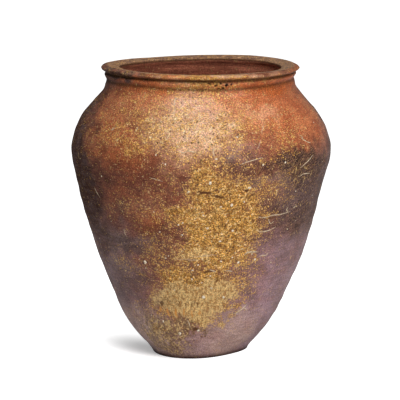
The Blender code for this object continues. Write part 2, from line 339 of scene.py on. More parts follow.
# What the fire made of the clay, with painted light and shade in some (each says which), lowest
# first: field, signal that mixes its two colours, darker colour, paler colour
FIRINGS = (
    ("ember", "fired", (0.37, 0.092, 0.031), (0.53, 0.167, 0.062)),
    # blush: pale pink, partly a painted highlight
    ("blush_and_highlight", "fired", (0.56, 0.28, 0.15), (0.76, 0.45, 0.29)),
    # mauve: the clay's own grey violet, its blue raised in part as a painted sheen on the lower
    # right
    ("mauve", "fired", (0.23, 0.132, 0.135), (0.35, 0.215, 0.24)),
    # buff: partly painted light at the foot's right
    ("buff_and_bounce_light", "fired", (0.37, 0.235, 0.21), (0.5, 0.335, 0.29)),
    # smoke: partly painted shade of the left side
    ("smoke_and_shade", "fired", (0.062, 0.028, 0.021), (0.105, 0.064, 0.06)),
    # scorch: partly painted shade at the right edge
    ("scorch_and_edge_shade", "peppered", (0.046, 0.026, 0.022), (0.2, 0.1, 0.066)),
    ("haze", "fired", (0.11, 0.068, 0.062), (0.19, 0.125, 0.12)),
    ("flush", "fired", (0.4, 0.085, 0.018), (0.58, 0.15, 0.035)),
    ("inside", "wiped", (0.27, 0.088, 0.052), (0.47, 0.16, 0.092)),
    # deep: painted shade, darker lower inside and away from the right
    ("deep", "wiped", (0.19, 0.058, 0.034), (0.3, 0.092, 0.05)),
    # lit: painted light on the inside's right
    ("lit", "wiped", (0.47, 0.16, 0.092), (0.7, 0.255, 0.15)),
    ("rim", "grainy", (0.13, 0.062, 0.05), (0.47, 0.265, 0.13)),
)

# Feldspar grains that show at the front, as (degrees, height, size); the rest are scattered
GRAINS = (
    (4, 273, 5), (-5.5, 260, 4), (14, 240, 4.5), (9, 238, 3.5), (3, 207, 4.5), (-8.5, 215, 3.5),
    (-10.5, 212, 3), (15.5, 202, 4.5), (9.5, 187, 4), (22, 264, 4.5), (20, 244, 2.5), (39, 296, 3),
    (49, 251, 2.5), (16.5, 335, 2.5), (27.5, 296, 3.5), (6.5, 307, 4), (-19.5, 311, 2.5),
    (-9, 197, 2.5), (1, 226, 2.5), (-1.5, 152, 3), (6, 116, 4), (-31, 152, 5.5), (-31.5, 143, 2.5),
    (-18.5, 161, 2.5), (20, 154, 4), (16.5, 162, 2.5), (10.5, 157, 3.5), (-4.5, 144, 3.5),
    (-5, 130, 3), (0.5, 125, 2.5), (-16.5, 43, 6.5), (-2, 49, 4.5), (-27.5, 61, 3), (14, 101, 4.5),
    (1.5, 102, 5), (30, 156, 4), (27.5, 165, 3.5), (-16, 112, 2.5), (-49, 273, 3), (-22, 229, 2.5),
    (-20, 200, 2.5), (42, 148, 3), (13, 24, 2),
)
GRAINS_SCATTERED = 70
GRAIN_SIZES = (0.001, 0.0024)  # of the scattered ones, in metres
GRAIN_TOP = 0.39
GRAIN_SPREAD = (1.6, 2)  # of their heights, so that more lie lower down
GRAIN_LENGTH, GRAIN_BREADTH, GRAIN_THICKNESS = (0.8, 1.2), (0.6, 0.9), 0.45
GRAIN_BALL = {"subdivisions": 2, "radius": 0.5}  # before it takes its size
GRAIN_ROUGH = 0.22

# Strings of milky glaze: breadth, then corners as (degrees, height)
SLIVERS = (
    (1, ((16.5, 298), (21, 302), (24, 304), (27.5, 306))),
    (2, ((50.5, 331), (52.5, 327), (52, 325), (55, 320), (58, 317))),
    (1.5, ((58.5, 300), (53.5, 292), (49, 285))),
    (1.5, ((57.5, 274), (52, 275), (49.5, 272))),
    (1.5, ((27.5, 220), (32, 218), (36.5, 220), (42, 220), (48, 222))),
    (2, ((45.5, 229), (45, 225), (46.5, 221))),
    (1.5, ((52.5, 228), (51, 228), (49.5, 226))),
    (1.5, ((34.5, 213), (36, 208), (38, 211))),
    (2.2, ((23, 73), (25.5, 74), (27.5, 77), (30, 81), (32.5, 87))),
    (1, ((30, 81), (32, 79), (33.5, 76))),
    (2.5, ((23, 164), (25, 168), (28, 168), (31.5, 167))),
    (1.5, ((32, 159), (34.5, 161), (37, 160), (38.5, 164))),
    (1.5, ((13, 142), (15, 142), (17.5, 141))),
    (1.5, ((4.5, 145), (6.5, 143), (8.5, 141))),
    (1, ((-56.5, 254), (-55, 247), (-53, 240))),
    (1, ((-22.5, 279), (-19.5, 277), (-16.5, 274))),
    (1, ((-40.5, 199), (-40.5, 193), (-40, 188))),
    (1.5, ((-9.5, 66), (-8.5, 60), (-8, 54))),
    (1.5, ((28, 201), (31, 197), (36, 198), (40, 202))),
    (1.5, ((-7, 318), (-4.5, 317), (-2, 316))),
)
SLIVER_RISE = 0.00018
SLIVER_STEPS = 6
SLIVER_SIDES = 8
SLIVER_END = 0.6  # of a step, by which the taper passes the ends
SLIVER_TAPER = 0.6
SLIVER_WOBBLE = (0.7, 1.3)

# Cracks, holes, rubbed spots and drops in the finish: (degrees, height, tilt, length, breadth,
# percent), rising towards the jar's right by the tilt in degrees
MARK_WOBBLE = (0.006, 0.005)  # length of the waves, how far they reach
MARK_DEPTH = 0.012  # half its reach through the wall
MARK_FADE = (0.5, 1.1)  # shares of its reach between which a mark fades
DARK_MARKS = (SOOT, HOLE)
MARKS = (
    (SOOT, (
        (1.5, 259, -5, 30, 5, 100), (7.5, 253, -15, 22, 4.5, 95), (20.5, 260, -10, 8, 5.5, 100),
        (23.5, 253, 30, 12, 5, 80), (14, 228, 50, 24, 3.5, 60), (12, 211, 60, 22, 3.5, 50),
        (10, 233, -40, 14, 3, 50), (9, 181, -30, 12, 5.5, 70), (-7.5, 189, 0, 16, 4, 70),
        (12, 179, 60, 10, 5.5, 70), (4, 142, 10, 20, 5, 80), (-5, 133, 80, 16, 4, 65),
        (9, 129, 60, 10, 5.5, 60), (-4.5, 51, 0, 9, 5.5, 90), (-26, 90, 70, 10, 7, 70),
        (-21.5, 279, -5, 20, 3, 65), (36, 216, 10, 22, 3, 85), (-24.5, 204, -10, 20, 3, 60),
        (25.5, 186, 0, 30, 3.5, 60), (-14, 91, 80, 8, 3, 70), (-10, 90, 90, 8, 3, 75),
        (-6, 90, 95, 8, 3, 75), (-2, 91, 85, 7, 3, 70), (-58, 250, -60, 20, 5.5, 55),
        (-14, 284, 5, 24, 3.5, 55),
    )),
    # holes: near black spots, the painted shade inside small holes that the mesh doesn't cut
    (HOLE, (
        (15, 403.5, 0, 6, 5.5, 100), (18, 403.5, -20, 5, 4.5, 95), (11.5, 406.5, 0, 5.5, 4, 90),
        (10.5, 399, 10, 5, 3.5, 85), (8.5, 403.5, 0, 5, 4.5, 85), (13, 399, 0, 5.5, 3.5, 85),
        (5, 405.5, 0, 4.5, 3.5, 80), (1, 395, 0, 4, 3.5, 70), (-19.5, 327, 0, 3.5, 3, 80),
        (-16.5, 322, 0, 3.5, 3, 80), (-8, 336, 0, 3.5, 3, 75), (-2, 356, 0, 3, 3, 75),
        (-4, 329, 0, 3.5, 3, 80), (-1, 329, 0, 3.5, 3.5, 80), (5, 326, 0, 3, 3, 75),
        (-42, 349, 0, 3.5, 3.5, 75), (-11, 379, 0, 3, 3, 75), (-4.5, 386, 0, 3, 3, 70),
        (-3, 379, 0, 3, 3, 70), (5, 368, 0, 3, 3, 75), (6.5, 365, 0, 3, 3, 75),
        (14, 372, 0, 3, 3, 70), (-26, 352, 0, 3.5, 3, 75),
    )),
    (RUBBED, (
        (-15, 380, 85, 18, 3, 55), (-14, 368, 90, 12, 2.5, 50), (-31, 343, 70, 8, 3.5, 65),
        (-45, 340, 40, 9, 4.5, 55), (5.5, 316, 90, 16, 3, 55), (-8, 316, -10, 12, 3, 55),
        (30, 344, 60, 20, 2.5, 40), (26.5, 324, 60, 16, 2.5, 40), (-6, 160, 0, 40, 2.5, 35),
        (2, 166, 5, 44, 2.5, 35),
    )),
    (HONEY, (
        (-28, 80, 90, 13, 4.5, 85), (-22.5, 77, 90, 16, 4.5, 90), (-17, 76, 90, 18, 4.5, 90),
        (-11.5, 78, 90, 14, 4, 80), (-6, 75, 90, 14, 4, 75), (-1, 77, 90, 12, 4, 70),
    )),
)


def cad_columns(node):
    """The node's points as an array of columns, from the underside's centre to the cavity floor's.

    Every column runs over the outside of the wall, the lip and down the inside."""
    mesh = bmesh.new()
    mesh.from_mesh(node.data)
    bmesh.ops.remove_doubles(mesh, verts=mesh.verts, dist=TOLERANCE)
    flat = [face for face in mesh.faces if abs(face.normal.z) > FLAT]
    bmesh.ops.delete(mesh, geom=flat, context="FACES")
    bmesh.ops.join_triangles(
        mesh, faces=mesh.faces, angle_face_threshold=math.pi, angle_shape_threshold=math.pi
    )
    foot = [v for v in mesh.verts if v.co.z < TOLERANCE]
    columns = []
    for point in sorted(foot, key=lambda v: math.atan2(v.co.y, v.co.x)):
        edge = next(e for e in point.link_edges if not e.is_boundary)
        column = [point.co.copy()]
        point = edge.other_vert(point)
        while not point.is_boundary:
            column.append(point.co.copy())
            faces = set(edge.link_faces)
            edge = next(e for e in point.link_edges if not faces & set(e.link_faces))
            point = edge.other_vert(point)
        column.append(point.co.copy())
        columns.append(column)
    mesh.free()
    columns = np.array(columns)
    centres = columns.mean(axis=0)
    first, last = (np.repeat(centres[k][None, None], len(columns), axis=0) for k in (0, -1))
    return np.concatenate([first, columns, last], axis=1)


def refined_rows(columns):
    """Smooth points between the CAD's rings, closer together on the wall and the lip."""
    steps = np.linalg.norm(np.diff(columns, axis=1), axis=2).mean(axis=0)
    slopes = np.diff(columns, axis=1) / steps[None, :, None]
    tangents = np.empty_like(columns)
    tangents[:, 0], tangents[:, -1] = slopes[:, 0], slopes[:, -1]
    before, after = steps[:-1, None], steps[1:, None]
    tangents[:, 1:-1] = (slopes[:, :-1] * after + slopes[:, 1:] * before) / (before + after)
    zones = row_zones(columns)
    rows, names = [columns[:, 0]], [zones[0]]
    for k, length in enumerate(steps):
        cells = max(1, round(length / CELLS[zones[k]]))
        for j in range(1, cells + 1):
            start, end = columns[:, k], columns[:, k + 1]
            leave, arrive = length * tangents[:, k], length * tangents[:, k + 1]
            rows.append(curve(j / cells, start, end, leave, arrive))
            names.append(zones[k])
    return np.stack(rows, axis=1), names


def curve(t, start, end, leave, arrive):
    """Point at share t on the smooth curve that leaves the start and arrives at these speeds."""
    return (
        (2 * t**3 - 3 * t**2 + 1) * start + (t**3 - 2 * t**2 + t) * leave
        + (3 * t**2 - 2 * t**3) * end + (t**3 - t**2) * arrive
    )


def landmarks(points, window):
    """Radii of the rows, and the rows of the belly, the lip's crest and its inner edge.

    The inner edge lies in the window of rows after the crest."""
    radius = np.hypot(points[..., 0], points[..., 1]).mean(axis=0)
    crest = int(np.argmax(points[..., 2].mean(axis=0)))
    mouth = crest + int(np.argmin(radius[crest : crest + window]))
    return radius, int(np.argmax(radius)), crest, mouth


def row_zones(columns):
    """Which stretch of the profile each CAD interval belongs to."""
    radius, belly, crest, mouth = landmarks(columns, MOUTH_RINGS)
    groove = belly + int(np.argmin(radius[belly:crest]))
    wall, lip, end = groove - LIP_RINGS[0], mouth + LIP_RINGS[1], len(radius) - 1
    return ["underside"] + ["wall"] * (wall - 1) + ["lip"] * (lip - wall) + ["inside"] * (end - lip)


def refined_round(rows):
    """Smooth points between the columns, by harmonics round the jar."""
    count = rows.shape[0]
    waves = np.fft.rfft(rows, axis=0)
    finer = np.zeros((count * COLUMNS_PER_FACET // 2 + 1,) + rows.shape[1:], dtype=complex)
    finer[: waves.shape[0]] = waves
    return np.fft.irfft(finer, n=count * COLUMNS_PER_FACET, axis=0) * COLUMNS_PER_FACET


def smoothstep(low, high, value):
    t = np.clip((value - low) / (high - low), 0, 1)
    return t * t * (3 - 2 * t)


def band(rise, fall, value):
    """1 between the smooth steps rise and fall, and 0 outside them."""
    return smoothstep(*rise, value) * (1 - smoothstep(*fall, value))


def ripple(points, length, seed):
    """Smooth random field at the points, about -1 to 1, whose features have this length."""
    rng = np.random.default_rng(seed)
    ways = rng.normal(size=(RIPPLE_WAVES, 3))
    rates = math.tau / length * rng.uniform(*RIPPLE_SPREAD, RIPPLE_WAVES)
    ways *= (rates / np.linalg.norm(ways, axis=1))[:, None]
    phases = rng.uniform(0, math.tau, RIPPLE_WAVES)
    total = np.zeros(points.shape[:-1])
    for way, phase in zip(ways, phases):
        total += np.cos(points @ way + phase)
    return total / math.sqrt(RIPPLE_WAVES)


def ripples(points, layers, seed):
    """Sum of ripples, each a layer with its own length and height."""
    return sum(rise * ripple(points, length, seed + k) for k, (length, rise) in enumerate(layers))


class Skin:
    """The jar's surface as a grid of columns and rows, with what each point of it is."""

    def __init__(self):
        rows, zones = refined_rows(cad_columns(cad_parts["jar_body"]))
        self.points = refined_round(rows)
        x, y, self.height = np.moveaxis(self.points, -1, 0)
        self.round = np.degrees(np.arctan2(x, -y))
        self.sideways = np.sin(np.radians(self.round))
        radius, belly, crest, self.mouth = landmarks(self.points, MOUTH_ROWS)
        outer = radius[belly:crest]
        dips = [k for k in range(1, len(outer) - 1) if outer[k - 1] > outer[k] <= outer[k + 1]]
        self.creases = [belly + k for k in dips]
        self.neck = self.creases[1]
        order = np.arange(len(radius))
        inside = smoothstep(self.mouth - INSIDE_ROWS, self.mouth + INSIDE_ROWS, order)
        self.outside = 1 - inside[None, :]
        top = smoothstep(crest - TOP_ROWS[0], crest - TOP_ROWS[1], order)
        self.top = top[None, :] * self.outside
        self.wall = np.array([zone == "wall" for zone in zones])[None, :]
        self.fields = {}

    def finish_fields(self):
        """How strongly each finish, and each painted shade and light, lies on each point."""
        around, height = self.round.copy(), self.height.copy()
        for k, (length, degrees, metres) in enumerate(EDGE_WARPS):
            around += degrees * ripple(self.points, length, SEEDS["turns"] + k)
            height += metres * ripple(self.points, length, SEEDS["levels"] + k)
        fields = self.fields
        for name, patches in PATCHES.items():
            total = np.zeros(around.shape)
            for at, level, breadth, rise, percent in patches:
                aside = (around - at + 180) % 360 - 180
                reach = np.hypot(aside / breadth, (height - level / MM) / (rise / MM))
                total = total + percent / PERCENT * (1 - smoothstep(*PATCH_FADE, reach))
            fields[name] = np.clip(total, 0, 1) * self.outside
        glazed = np.clip(sum(share * fields[name] for name, share in GLAZE_SHARES), 0, 1)
        glazed = glazed * (1 - THICK_DULLS * smoothstep(*THICK_ASH, fields["ash"]))
        glazed = glazed * (1 - NECK_DULLS * smoothstep(*NECK_START, self.height))
        # less gloss where the painted highlight lies
        glazed = glazed * (1 - BLUSH_AND_HIGHLIGHT_DULLS * fields["blush_and_highlight"])
        fields["glazed"] = glazed * (1 - TOP_DULLS * self.top)
        # painted contact shadow along the foot's edge, fading upward
        fields["foot"] = np.exp(-((self.height / FOOT_LINE) ** 2)) * self.outside
        fields["rim"] = np.broadcast_to(self.top, around.shape)
        fields["right"] = smoothstep(*SIDE_TURN, self.sideways)
        # the inside's right gets painted light
        inside, lit = 1 - self.outside, smoothstep(*LIT_TURN, self.sideways)
        fields["inside"] = np.broadcast_to(inside, around.shape)
        # painted shade inside the mouth, deeper down and away from the lit right
        fields["deep"] = inside * (1 - smoothstep(*DEEP_LEVELS, self.height)) * (1 - lit)
        fields["lit"] = inside * lit
        along = np.linalg.norm(np.diff(self.points, axis=1, prepend=self.points[:, :1]), axis=2)
        run = np.cumsum(along, axis=1)
        # painted shade, with some dirt, along the groove, the tuck and the lip's inner edge
        crease = np.zeros(around.shape)
        places = self.creases + [self.mouth]
        for row, (below, above, strength) in zip(places, CREASE_SHADE_REACHES, strict=True):
            away = run - run[:, row : row + 1]
            crease = crease + strength * np.exp(-((away / np.where(away < 0, below, above)) ** 2))
        fields["crease"] = np.clip(crease, 0, 1)

    def normals(self):
        down = np.gradient(self.points, axis=1)
        across = np.roll(self.points, -1, axis=0) - np.roll(self.points, 1, axis=0)
        normals = np.cross(across, down)
        length = np.linalg.norm(normals, axis=2, keepdims=True)
        return normals / np.maximum(length, TINY)

    def relief(self):
        """Press the hand work and the crust of ash into the form."""
        side = smoothstep(*GROOVE_SIDES, np.abs(self.sideways))
        lift = NECK_LIFT * band(*NECK_LEVELS, self.height)
        lift = lift + GROOVE_LIFT * band(*GROOVE_LEVELS, self.height) * side
        self.points[..., 2] += lift * self.outside
        bulk = ripples(self.points, LUMPS, SEEDS["lumps"])
        length, turn = COIL_SWAY
        sway = turn * ripple(self.points, length, SEEDS["sway"])
        length, mean, swing = COIL_FADE
        fade = mean + swing * ripple(self.points, length, SEEDS["coils"])
        coils = np.sin(math.tau * self.height / COIL_PITCH + sway)
        bulk = bulk + COIL_RELIEF * coils * fade * self.wall
        bulk = bulk + ripples(self.points, CRUST, SEEDS["crust"]) * self.fields["ash"]
        calm = smoothstep(0, CALM_HEIGHT, self.height)
        calm = calm * (CALM_SHARE + (1 - CALM_SHARE) * self.wall)
        self.points = self.points + self.normals() * (bulk * calm)[..., None]
        self.keep_inside_box()
        self.outward = self.normals()
        self.rings = self.level_rings()

    def keep_inside_box(self):
        """Draw the form in by the little that the relief took it past the CAD's box."""
        for axis in range(2):
            reach = np.abs(self.points[..., axis]).max()
            self.points[..., axis] *= min(1, CAD_BOX[1][axis] / reach * BOX_SHARE)
        self.points[..., 2] = np.clip(self.points[..., 2], CAD_BOX[0][2], CAD_BOX[1][2])

    def level_rings(self):
        """Points and normals round the outside at even steps of height."""
        levels = np.arange(0, self.points[:, self.neck, 2].min(), LEVEL_STEP)
        facts = np.concatenate([self.points, self.outward], axis=2)[:, 1 : self.neck]
        rings = np.array([
            [np.interp(levels, column[:, 2], fact) for fact in column.T] for column in facts
        ])
        return rings.transpose(2, 0, 1)

    def spot(self, degrees, height):
        """Point and outward normal of the outside at this bearing and height."""
        at = min(height / LEVEL_STEP, len(self.rings) - LAST_RING)
        ring = self.rings[int(at)] * (1 - at % 1) + self.rings[int(at) + 1] * (at % 1)
        bearings = np.degrees(np.arctan2(ring[:, 0], -ring[:, 1]))
        order = np.argsort(bearings)
        found = [np.interp(degrees, bearings[order], fact[order], period=360) for fact in ring.T]
        return Vector(found[:3]), Vector(found[3:]).normalized()

    def mesh(self, name):
        """Closed mesh over the grid, whose first and last rows are its two poles."""
        columns, rows = self.points.shape[:2]
        inner = rows - 2
        here = np.arange(columns)[:, None] * inner + np.arange(inner - 1)[None, :]
        there = np.roll(here, -1, axis=0)
        quads = np.stack([here, there, there + 1, here + 1], axis=-1).reshape(-1, 4)
        first, last = columns * inner, columns * inner + 1
        caps = []
        for i in range(columns):
            near, far = i * inner, (i + 1) % columns * inner
            caps += [(first, far, near), (last, near + inner - 1, far + inner - 1)]
        mesh = bpy.data.meshes.new(name)
        verts = np.stack([in_order(self.points[..., axis]) for axis in range(3)], axis=-1)
        mesh.from_pydata(verts.tolist(), [], quads.tolist() + caps)
        mesh.shade_smooth()
        for field, values in self.fields.items():
            attribute = mesh.attributes.new(field, "FLOAT", "POINT")
            attribute.data.foreach_set("value", in_order(values))
        self.lay_out(mesh)
        return mesh

    def lay_out(self, mesh):
        """UV map unrolled round the jar, with most of its height for the outside."""
        columns, rows = self.points.shape[:2]
        along = np.linalg.norm(np.diff(self.points, axis=1), axis=2).mean(axis=0)
        along[self.mouth :] *= INSIDE_UV_SHARE
        level = np.concatenate([[0], np.cumsum(along)])
        level /= level[-1]
        step = 1 / columns
        left = np.arange(columns)[:, None] / columns + np.zeros(rows - 3)
        low, high = (np.broadcast_to(part, left.shape) for part in (level[1:-2], level[2:-1]))
        corners = [left, low, left + step, low, left + step, high, left, high]
        caps = []
        for i in range(columns):
            left, right = i * step, (i + 1) * step
            caps += [(left + right) / 2, level[0], right, level[1], left, level[1]]
            caps += [(left + right) / 2, level[-1], left, level[-2], right, level[-2]]
        layer = mesh.uv_layers.new(name="OFBake")
        layer.data.foreach_set("uv", np.concatenate([np.stack(corners, axis=-1).ravel(), caps]))


def in_order(field):
    """A field in the order of the mesh's points: the grid between the poles, then the two poles."""
    return np.concatenate([field[:, 1:-1].ravel(), [field[:, 0].mean(), field[:, -1].mean()]])


class Recipe:
    """Short hand for writing the nodes of a material or the world."""

    def __init__(self, owner):
        self.owner = owner
        owner.use_nodes = True
        self.tree = owner.node_tree
        self.made = {}

    def node(self, kind, settings, inputs):
        node = self.tree.nodes.new("ShaderNode" + kind)
        for name, value in settings.items():
            setattr(node, name, value)
        self.feed(node, inputs)
        return node

    def feed(self, node, inputs):
        for name, value in inputs.items():
            socket = node.inputs[name]
            if isinstance(value, bpy.types.NodeSocket):
                self.tree.links.new(value, socket)
            else:
                socket.default_value = (*value, 1) if socket.type == "RGBA" else value

    def maths(self, operation, *values):
        return self.node("Math", {"operation": operation}, dict(enumerate(values))).outputs[0]

    def vectors(self, operation, *values, output=0):
        node = self.node("VectorMath", {"operation": operation}, dict(enumerate(values)))
        return node.outputs[output]

    def chain(self, operation, total, *values):
        """The operation on the first two values, then on the result and the next one, and so on."""
        for value in values:
            total = self.maths(operation, total, value)
        return total

    def add(self, *terms):
        return self.chain("ADD", *terms)

    def times(self, *factors):
        return self.chain("MULTIPLY", *factors)

    def most(self, *values):
        return self.chain("MAXIMUM", *values)

    def ramp(self, value, low, high, to_low=0, to_high=1):
        """Smooth step of the value from low to high."""
        inputs = {
            "Value": value, "From Min": low, "From Max": high, "To Min": to_low, "To Max": to_high,
        }
        return self.node("MapRange", {"interpolation_type": "SMOOTHSTEP"}, inputs).outputs[0]

    def mix(self, factor, first, second, blend="MIX"):
        settings = {"data_type": "RGBA", "blend_type": blend}
        inputs = {"Factor": factor, "A": first, "B": second}
        return self.node("Mix", settings, inputs).outputs["Result"]

    def framed(self, place, location, rotation, scale):
        """The place as seen from a frame with this location, rotation and scale."""
        inputs = {"Vector": place, "Location": location, "Rotation": rotation, "Scale": scale}
        return self.node("Mapping", {"vector_type": "TEXTURE"}, inputs).outputs[0]

    def place(self, up=1, turn=0):
        """Object coordinates, stretched upright and turned."""
        place = self.node("TexCoord", {}, {}).outputs["Object"]
        return self.framed(place, (0, 0, 0), (0, turn, 0), (1, 1, 1 / up))

    def noise(self, place, length, detail=1, roughness=0.5, distortion=0):
        """Noise from 0 to 1 whose features have this length in metres, as Fac or as Color."""
        inputs = {
            "Vector": place, "Scale": 1 / length, "Detail": detail, "Roughness": roughness,
            "Distortion": distortion,
        }
        return self.node("TexNoise", {}, inputs).outputs

    def wobbled(self, length, reach):
        """Object coordinates, pushed about by waves of this length, as far as the reach."""
        place = self.place()
        wave = self.vectors("SUBTRACT", self.noise(place, length)["Color"], [NOISE_MIDDLE] * 3)
        return self.vectors("ADD", place, self.vectors("MULTIPLY", wave, [reach] * 3))

    def spots(self, place, length):
        """Distance to the nearest of many scattered points, and a random number for that point."""
        node = self.node("TexVoronoi", {}, {"Vector": place, "Scale": 1 / length})
        chance = self.node("SeparateColor", {}, {"Color": node.outputs["Color"]}).outputs[0]
        return node.outputs["Distance"], chance

    def rays(self):
        """Two signals that are 1 for what the camera sees, and for what shows in gloss."""
        path = self.node("LightPath", {}, {}).outputs
        return self.most(path["Is Camera Ray"], path["Is Transmission Ray"]), path["Is Glossy Ray"]

    def signal(self, name):
        """The pattern or the signal of this name, or else the mesh's field of this name."""
        if name not in self.made:
            if name in PATTERNS:
                up, *rest = PATTERNS[name]
                found = self.noise(self.place(up, TURNS.get(name, 0)), *rest)["Fac"]
            elif name in SIGNALS:
                parts, step = SIGNALS[name]
                terms = [self.times(self.signal(part), share) for part, share in parts.items()]
                found = self.ramp(self.add(*terms), *step) if step else self.add(*terms)
            else:
                found = self.node("Attribute", {"attribute_name": name}, {}).outputs["Fac"]
            self.made[name] = found
        return self.made[name]

    def signals(self, *names):
        return [self.signal(name) for name in names]

    def cover(self, colour, tint, *names):
        """The colour with the tint laid over it, as far as the product of the signals says."""
        return self.mix(self.times(*self.signals(*names)), colour, tint)

    def shaded(self, colour, name):
        """The colour times a signal."""
        return self.mix(1, colour, self.signal(name), "MULTIPLY")

    def off_middle(self, name):
        """How far a pattern is from its middle value, which it takes along thin lines."""
        return self.maths("ABSOLUTE", self.add(self.signal(name), -NOISE_MIDDLE))

    def paint(self, name, strength, height, inputs):
        """Feed the surface, with bumps after the signal of this name, this strong and high."""
        bump = {"Strength": strength, "Distance": height, "Height": self.signal(name)}
        normal = self.node("Bump", {}, bump).outputs[0]
        self.feed(self.tree.nodes["Principled BSDF"], inputs | {"Normal": normal})
        return self.owner


def stoneware(grid):
    """Fired clay under ash glaze."""
    recipe = Recipe(bpy.data.materials.new("stoneware_skin"))
    colour = fired_clay(recipe)
    colour = ash_glaze(recipe, colour)
    colour = straw_glaze(recipe, colour)
    colour = wear(recipe, colour)
    colour, dark = marks(recipe, colour, grid)
    # dark places lose gloss: smoke, scorch, dark marks, and the painted shade of the creases and
    # the foot
    soot_and_shade = recipe.most(*recipe.signals("smoke_and_shade", "scorch_and_edge_shade", "crease", "foot"), dark)
    glossy = recipe.add(1, recipe.times(soot_and_shade, -SOOT_AND_SHADE_DULLS))
    return recipe.paint("bumps", *SKIN_BUMP, {
        "Base Color": colour, "Roughness": recipe.signal("rough"),
        "Specular IOR Level": recipe.times(recipe.signal("gloss"), glossy),
        "Coat Weight": recipe.times(recipe.signal("coat"), glossy),
        "Coat Roughness": COAT_ROUGHNESS,
    })


def fired_clay(recipe):
    """Bare clay, how the fire coloured it, and the painted light and shade in some firings."""
    colour = recipe.mix(recipe.signal("fired"), CLAY_DEEP, CLAY)
    for field, grade, deep, pale in FIRINGS:
        colour = recipe.cover(colour, recipe.mix(recipe.signal(grade), deep, pale), field)
    return recipe.cover(colour, CLAY_DUSTY, "blotched", "mauve")


def ash_glaze(recipe, colour):
    """Ash melted in flecks, which run together to a lumpy crust where it fell thick."""
    string, stroke, right = recipe.signals("string", "stroke", "right")
    left = recipe.maths("SUBTRACT", 1, right)
    recipe.made["strings"] = recipe.add(recipe.times(string, left), recipe.times(stroke, right))
    recipe.made["granule"] = recipe.spots(recipe.wobbled(*GRANULE_WOBBLE), GRANULE_SPACING)[1]
    recipe.made["clump_line"] = recipe.off_middle("clump")
    colour = recipe.cover(colour, AMBER, "amber")
    gold = recipe.mix(recipe.signal("ochre"), OCHRE_DEEP, OCHRE)
    gold = recipe.cover(gold, GOLD, "gold")
    gold = recipe.cover(gold, GOLD_PALE, "gold_pale")
    colour = recipe.cover(colour, gold, "flecks")
    # painted light and shade of the crust's lumps
    colour = recipe.cover(colour, recipe.shaded(colour, "lumps"), "thick")
    # painted shade in the hollows between the lumps, with dark seams
    colour = recipe.cover(colour, SPECK, "seam", "hollow_shade", "thick")
    return recipe.cover(colour, SPECK, "specks")


def straw_glaze(recipe, colour):
    """Smooth straw-coloured glaze that ran down, and the brown and milky runs below it."""
    recipe.made["run_line"] = recipe.off_middle("run")
    recipe.made["runs"] = recipe.most(*recipe.signals("straw", "olive"))
    straw = recipe.mix(recipe.signal("trickles"), STRAW_DEEP, STRAW)
    colour = recipe.cover(colour, straw, "smooth")
    colour = recipe.cover(colour, RUN_EDGE, "run_edge", "runs")
    colour = recipe.cover(colour, OLIVE, "stain")
    return recipe.cover(colour, STRAW, "milk")


def wear(recipe, colour):
    """Burst bubbles, shade and dirt painted in creases, shadow at the foot, the clay's grain."""
    made = recipe.made
    made["pit_distance"], made["pit_chance"] = recipe.spots(recipe.place(), PIT_SPACING)
    made["pits"] = recipe.times(*recipe.signals("pit_here", "pit_shape"))
    colour = recipe.cover(colour, PIT, "pit_stain")
    # painted shade, with some dirt, in the creases
    colour = recipe.cover(colour, CREASE_DIRT_AND_SHADE, "crease", "crease_mottle")
    # painted contact shadow along the foot
    colour = recipe.cover(colour, FOOT_CONTACT_SHADE, "foot_contact_shade")
    return recipe.cover(colour, recipe.shaded(colour, "clay_grain"), "grainy_share")


def marks(recipe, colour, grid):
    """The marks, each at its own place on the wall, and a signal of where the dark ones lie."""
    place = recipe.wobbled(*MARK_WOBBLE)
    dark = 0
    for tint, spots in MARKS:
        covered = 0
        for degrees, height, tilt, length, breadth, percent in spots:
            turn = (0, -math.radians(tilt), math.radians(degrees))
            size = (length / MM / 2, MARK_DEPTH, breadth / MM / 2)
            local = recipe.framed(place, grid.spot(degrees, height / MM)[0], turn, size)
            reach = recipe.vectors("LENGTH", local, output="Value")
            covered = recipe.most(covered, recipe.ramp(reach, *MARK_FADE, percent / PERCENT, 0))
        colour = recipe.mix(covered, colour, tint)
        if tint in DARK_MARKS:
            dark = recipe.most(dark, covered)
    return colour, dark


def pale_mineral(name, stained, clean):
    """Feldspar or milky glaze, off-white and stained by the ash around it."""
    recipe = Recipe(bpy.data.materials.new(name))
    return recipe.paint("grain", *MINERAL_BUMP, {
        "Base Color": recipe.mix(recipe.signal("clean"), stained, clean),
        "Roughness": recipe.signal("mineral_rough"), "Specular IOR Level": MINERAL_GLOSS,
    })


def add_piece(name, mesh, material):
    """Object of the mesh, with this material, that rides on the jar."""
    mesh.materials.append(material)
    piece = bpy.data.objects.new(name, mesh)
    bpy.context.scene.collection.objects.link(piece)
    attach(piece, "root")
    return piece


def add_small_shapes(name, shapes, material):
    """Piece of many small shapes, whose points are drawn in to the CAD's box."""
    for vertex in shapes.verts:
        for axis in range(3):
            vertex.co[axis] = min(max(vertex.co[axis], CAD_BOX[0][axis]), CAD_BOX[1][axis])
    mesh = bpy.data.meshes.new(name)
    shapes.to_mesh(mesh)
    shapes.free()
    mesh.shade_smooth()
    add_piece(name, mesh, material)


def all_grains():
    """The listed grains, then small ones all round the wall, in degrees and metres."""
    rng = np.random.default_rng(SEEDS["scattered"])
    grains = [(degrees, height / MM, size / MM) for degrees, height, size in GRAINS]
    for _ in range(GRAINS_SCATTERED):
        degrees, height = rng.uniform(-180, 180), GRAIN_TOP * rng.beta(*GRAIN_SPREAD)
        grains.append((degrees, height, rng.uniform(*GRAIN_SIZES)))
    return grains


